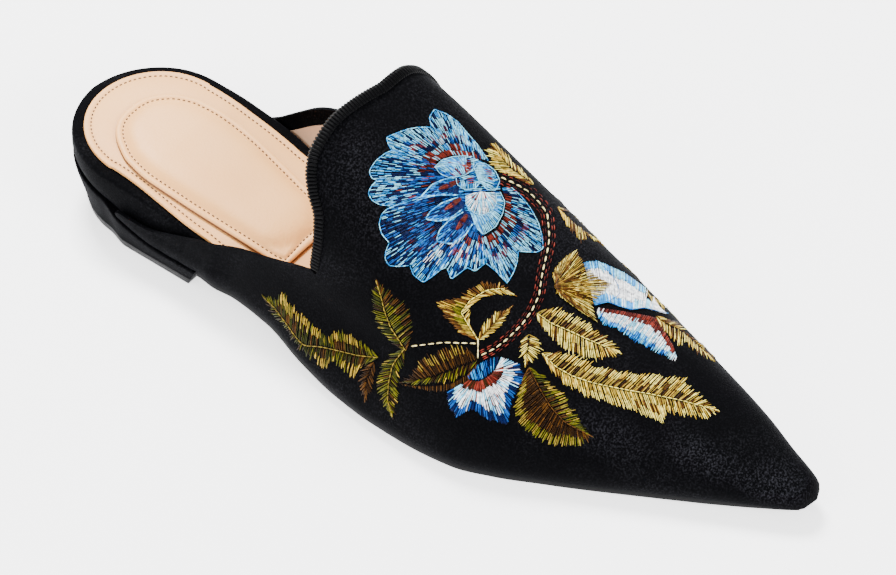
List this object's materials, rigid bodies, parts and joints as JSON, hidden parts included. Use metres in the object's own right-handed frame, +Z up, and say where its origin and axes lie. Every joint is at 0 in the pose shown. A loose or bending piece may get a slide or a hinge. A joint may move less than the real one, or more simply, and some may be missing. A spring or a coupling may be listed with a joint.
{
  "type": "babouche slipper",
  "caption": "Pointed-toe flat velvet mule for the right foot, backless, with a tall rounded tongue, embroidered vamp, padded tan insole and low block heel.",
  "frame": {"origin": "on the floor, under the middle of the shoe's outline", "axes": "+Y from the heel to the toe, +X to the outer side of the right foot, +Z up"},
  "size_m": [0.088, 0.2732, 0.0806],
  "materials": {
    "velvet": "black cut-pile velvet, soft sheen along the nap",
    "grosgrain": "black ribbed ribbon, dull",
    "footbed_velvet": "black velvet wrapped over the board",
    "tan_leather": "smooth pale tan leather, semi-matte, edge stitched",
    "pad_leather": "smooth pale tan leather over foam, semi-matte",
    "sole_rubber": "black rubber, fine pebbled tread",
    "heel_velvet": "black velvet wrapped over the heel block",
    "lift_rubber": "black rubber lift, matte",
    "lining_leather": "tan lining inside the upper",
    "embroidery_thread": "glossy rayon thread in blues, golds and browns"
  },
  "bodies": {
    "root": {"upper": "velvet", "throat_binding": "grosgrain", "footbed": "footbed_velvet", "insole": "tan_leather", "heel_pad": "pad_leather", "outsole": "sole_rubber", "heel_block": "heel_velvet", "top_lift": "lift_rubber"}
  },
  "joints": []
}
